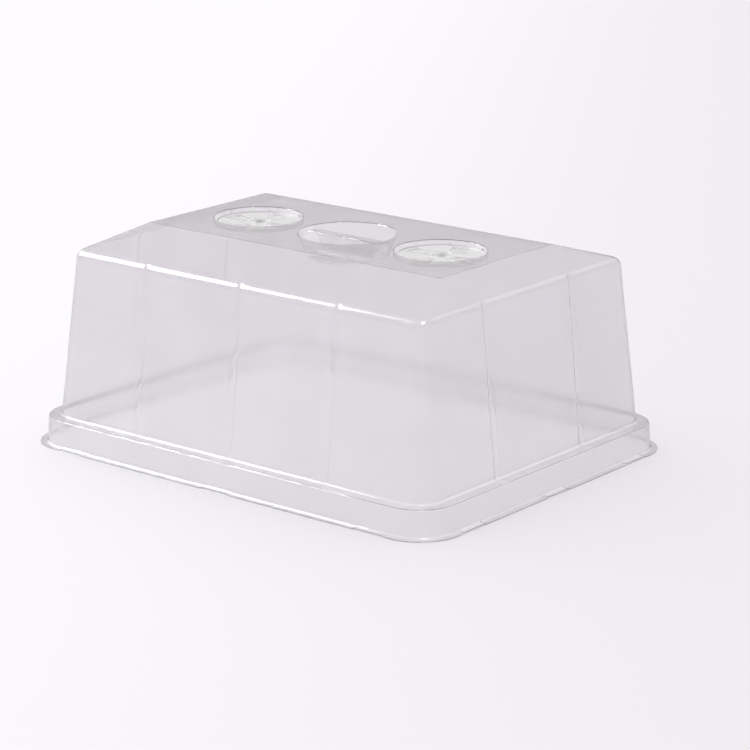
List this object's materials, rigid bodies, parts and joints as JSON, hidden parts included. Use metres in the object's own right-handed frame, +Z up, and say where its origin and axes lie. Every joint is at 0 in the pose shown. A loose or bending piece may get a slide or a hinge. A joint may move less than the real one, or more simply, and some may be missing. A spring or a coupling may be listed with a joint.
{
  "type": "humidity dome",
  "caption": "Clear rectangular humidity dome for a propagation tray, with a stepped rim, grooved walls, a pinch-grip pocket and rotary air vents in the flat top.",
  "frame": {"origin": "middle of the footprint, on the plane that the bottom flange rests on", "axes": "+Z up, +X along the length, +Y across the width; the long wall at -Y is the front"},
  "size_m": [0.526, 0.409, 0.2198],
  "materials": {
    "clear_sheet": "clear gloss",
    "dial_plastic": "clear satin",
    "rivet_plastic": "translucent"
  },
  "bodies": {
    "root": {"dome_shell": "clear_sheet", "left_vent_rivet": "rivet_plastic", "left_rivet_cap": "rivet_plastic", "right_vent_rivet": "rivet_plastic", "right_rivet_cap": "rivet_plastic"},
    "left_dial": {"left_vent_dial": "dial_plastic"},
    "right_dial": {"right_vent_dial": "dial_plastic"}
  },
  "joints": [
    {"name": "left_vent_turn", "type": "hinge", "parent": "root", "child": "left_dial", "pos_m": [-0.1177, 0, 0.2131], "axis": [0, 0, 1], "range_deg": [0, 45]},
    {"name": "right_vent_turn", "type": "hinge", "parent": "root", "child": "right_dial", "pos_m": [0.1177, 0, 0.2131], "axis": [0, 0, 1], "range_deg": [0, 45]}
  ]
}
